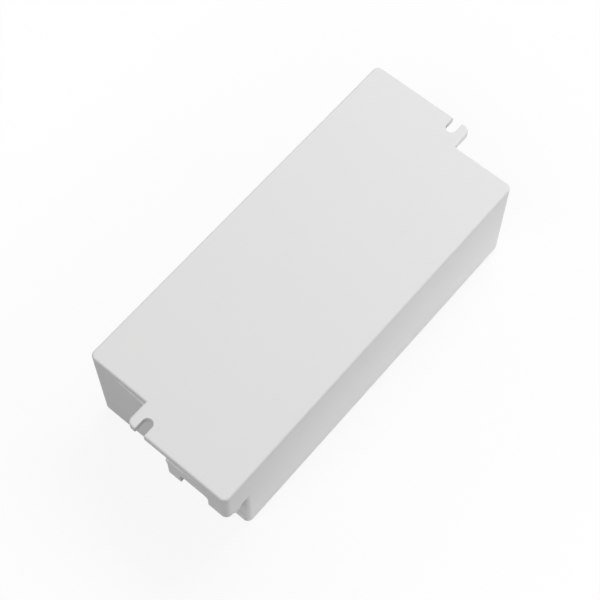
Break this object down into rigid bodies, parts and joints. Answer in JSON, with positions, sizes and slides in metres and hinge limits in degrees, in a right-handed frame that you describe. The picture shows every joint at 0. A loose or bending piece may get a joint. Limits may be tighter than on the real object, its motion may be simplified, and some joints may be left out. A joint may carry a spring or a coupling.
{
  "type": "led driver",
  "caption": "White plastic LED driver box with a flat mounting plate, diagonal half-width end extensions with open screw slots, and shallow wiring boxes with cable notches.",
  "frame": {"origin": "centre of the front face, which the part lies on", "axes": "+X along the case from the input end to the output end, +Z out of the mounting plate"},
  "size_m": [0.1186, 0.05, 0.0326],
  "materials": {
    "case_plastic": "fine matt moulded white",
    "board": "solder-masked laminate",
    "screw_steel": "zinc-plated",
    "terminal_plastic": "matt moulded light grey",
    "contact_metal": "tinned",
    "clamp_plastic": "matt moulded off-white",
    "fuse_body": "moulded brown",
    "varistor_coat": "dipped resin",
    "thermistor_coat": "dipped resin",
    "safety_coat": "dipped resin",
    "film_box": "moulded box",
    "ferrite": "sintered",
    "copper_wire": "enamelled",
    "device_plastic": "moulded epoxy",
    "can_sleeve": "shrunk sleeve",
    "heatsink_metal": "plain extruded",
    "bobbin_plastic": "moulded",
    "winding_tape": "wrapped polyester tape",
    "resistor_coat": "lacquered"
  },
  "bodies": {
    "root": {"base_plate": "case_plastic", "housing": "case_plastic", "circuit_board": "board", "board_screws": "screw_steel", "input_terminal": "terminal_plastic", "output_terminal": "terminal_plastic", "terminal_contacts": "contact_metal", "input_cable_clamp": "clamp_plastic", "output_cable_clamp": "clamp_plastic", "clamp_screws": "screw_steel", "fuse": "fuse_body", "varistor": "varistor_coat", "thermistor": "thermistor_coat", "filter_capacitor": "film_box", "filter_choke_core": "ferrite", "filter_choke_windings": "copper_wire", "bridge_rectifier": "device_plastic", "storage_capacitor": "can_sleeve", "power_switch": "device_plastic", "switch_heatsink": "heatsink_metal", "heatsink_screws": "screw_steel", "transformer_core": "ferrite", "transformer_bobbin": "bobbin_plastic", "transformer_winding": "winding_tape", "safety_capacitor": "safety_coat", "optocoupler": "device_plastic", "control_chip": "device_plastic", "output_diode": "device_plastic", "diode_heatsink": "heatsink_metal", "output_capacitors": "can_sleeve", "output_choke_core": "ferrite", "output_choke_winding": "copper_wire", "resistors": "resistor_coat"}
  },
  "joints": []
}
